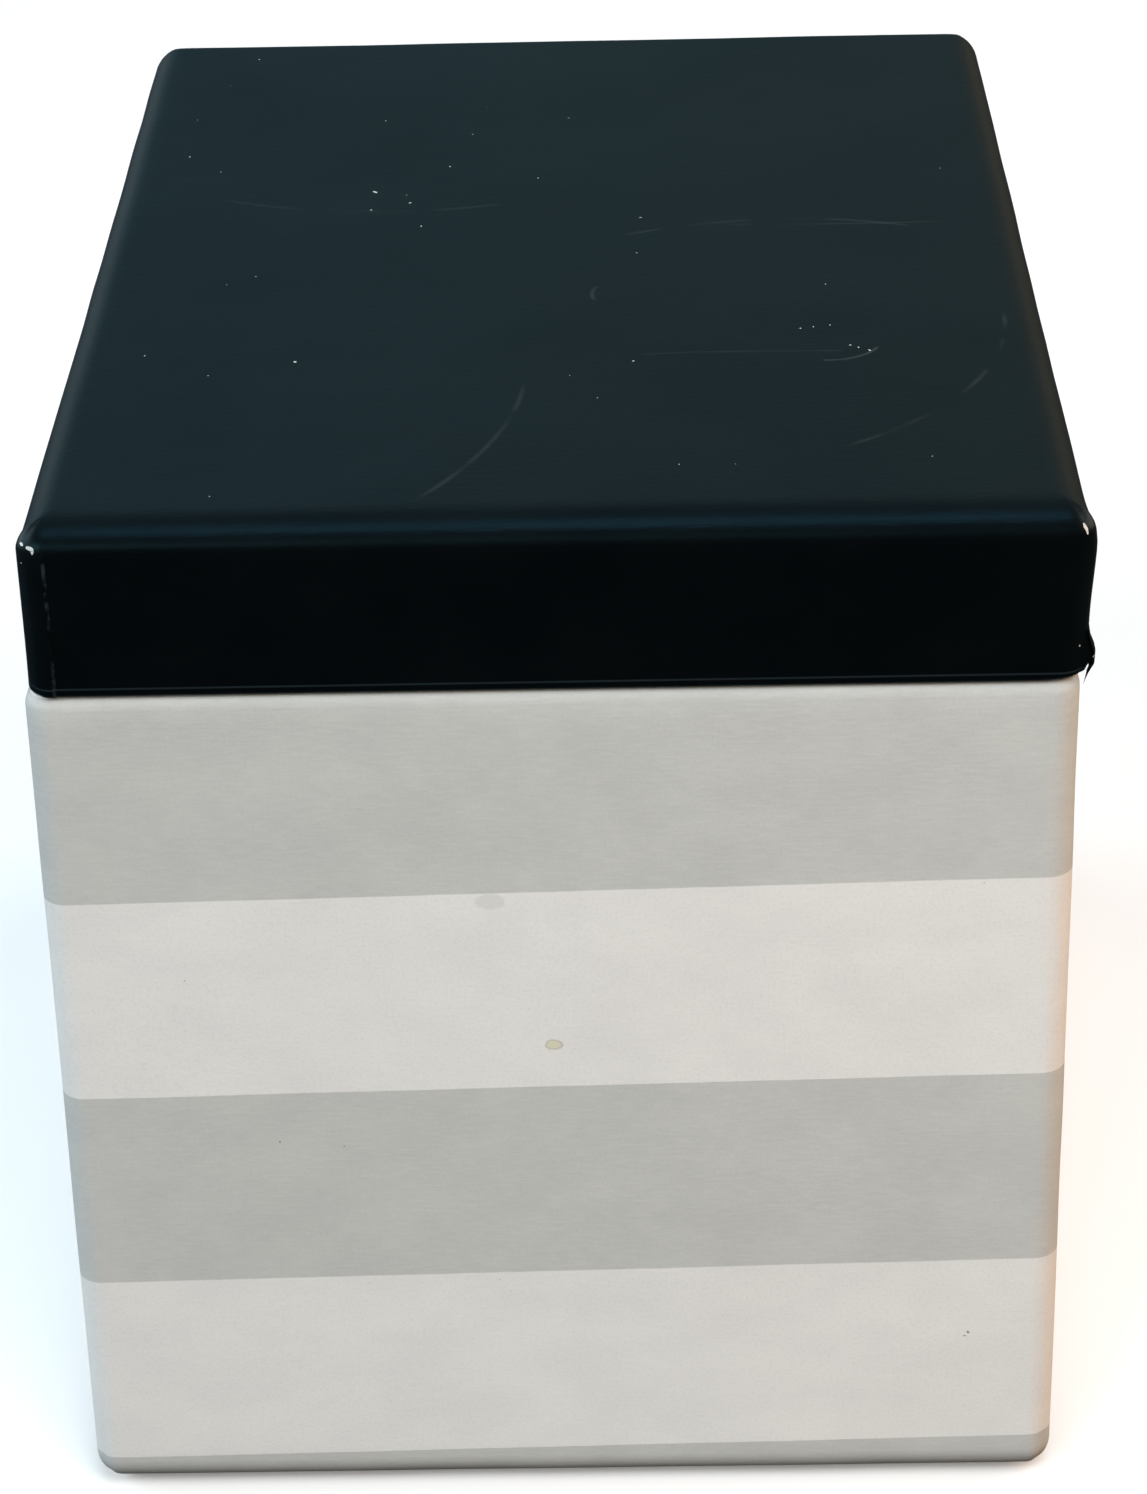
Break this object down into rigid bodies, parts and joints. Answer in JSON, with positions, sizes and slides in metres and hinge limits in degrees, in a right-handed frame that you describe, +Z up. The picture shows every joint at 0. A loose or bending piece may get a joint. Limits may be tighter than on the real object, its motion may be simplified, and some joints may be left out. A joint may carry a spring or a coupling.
{
  "type": "gift box",
  "caption": "Rectangular rigid gift box: a striped paper-wrapped base with an inner shoulder neck and a black paper-wrapped lid that lifts straight off, its walls flush with the base.",
  "frame": {"origin": "middle of the underside, on the surface that the box stands on", "axes": "+Z up, the way the lid lifts; -Y is the front, a short side; +X is to the right seen from the front"},
  "size_m": [0.112, 0.157, 0.1248],
  "materials": {
    "greyboard": "matte grey recycled board",
    "neck_board": "matte grey recycled board",
    "gummed_tape": "brown kraft gummed paper",
    "striped_paper": "satin printed paper, grey and off-white stripes",
    "black_paper": "satin black paper with a faint blue-green cast",
    "neck_paper": "matte black paper",
    "lining_paper": "matte black paper",
    "underside_paper": "plain off-white paper"
  },
  "bodies": {
    "base": {"base_floor_board": "greyboard", "base_front_board": "greyboard", "base_back_board": "greyboard", "base_left_board": "greyboard", "base_right_board": "greyboard", "base_tape_front_left": "gummed_tape", "base_tape_front_right": "gummed_tape", "base_tape_back_right": "gummed_tape", "base_tape_back_left": "gummed_tape", "base_wrap": "striped_paper", "base_underside_sheet": "underside_paper", "floor_lining_sheet": "lining_paper", "neck_front_board": "neck_board", "neck_back_board": "neck_board", "neck_left_board": "neck_board", "neck_right_board": "neck_board", "neck_wrap": "neck_paper"},
    "lid": {"lid_top_board": "greyboard", "lid_front_board": "greyboard", "lid_back_board": "greyboard", "lid_left_board": "greyboard", "lid_right_board": "greyboard", "lid_tape_front_left": "gummed_tape", "lid_tape_front_right": "gummed_tape", "lid_tape_back_right": "gummed_tape", "lid_tape_back_left": "gummed_tape", "lid_wrap": "black_paper", "lid_lining_sheet": "lining_paper"}
  },
  "joints": [
    {"name": "lid_lift", "type": "slide", "parent": "base", "child": "lid", "axis": [0, 0, 1], "range_m": [0, 0.08]}
  ]
}
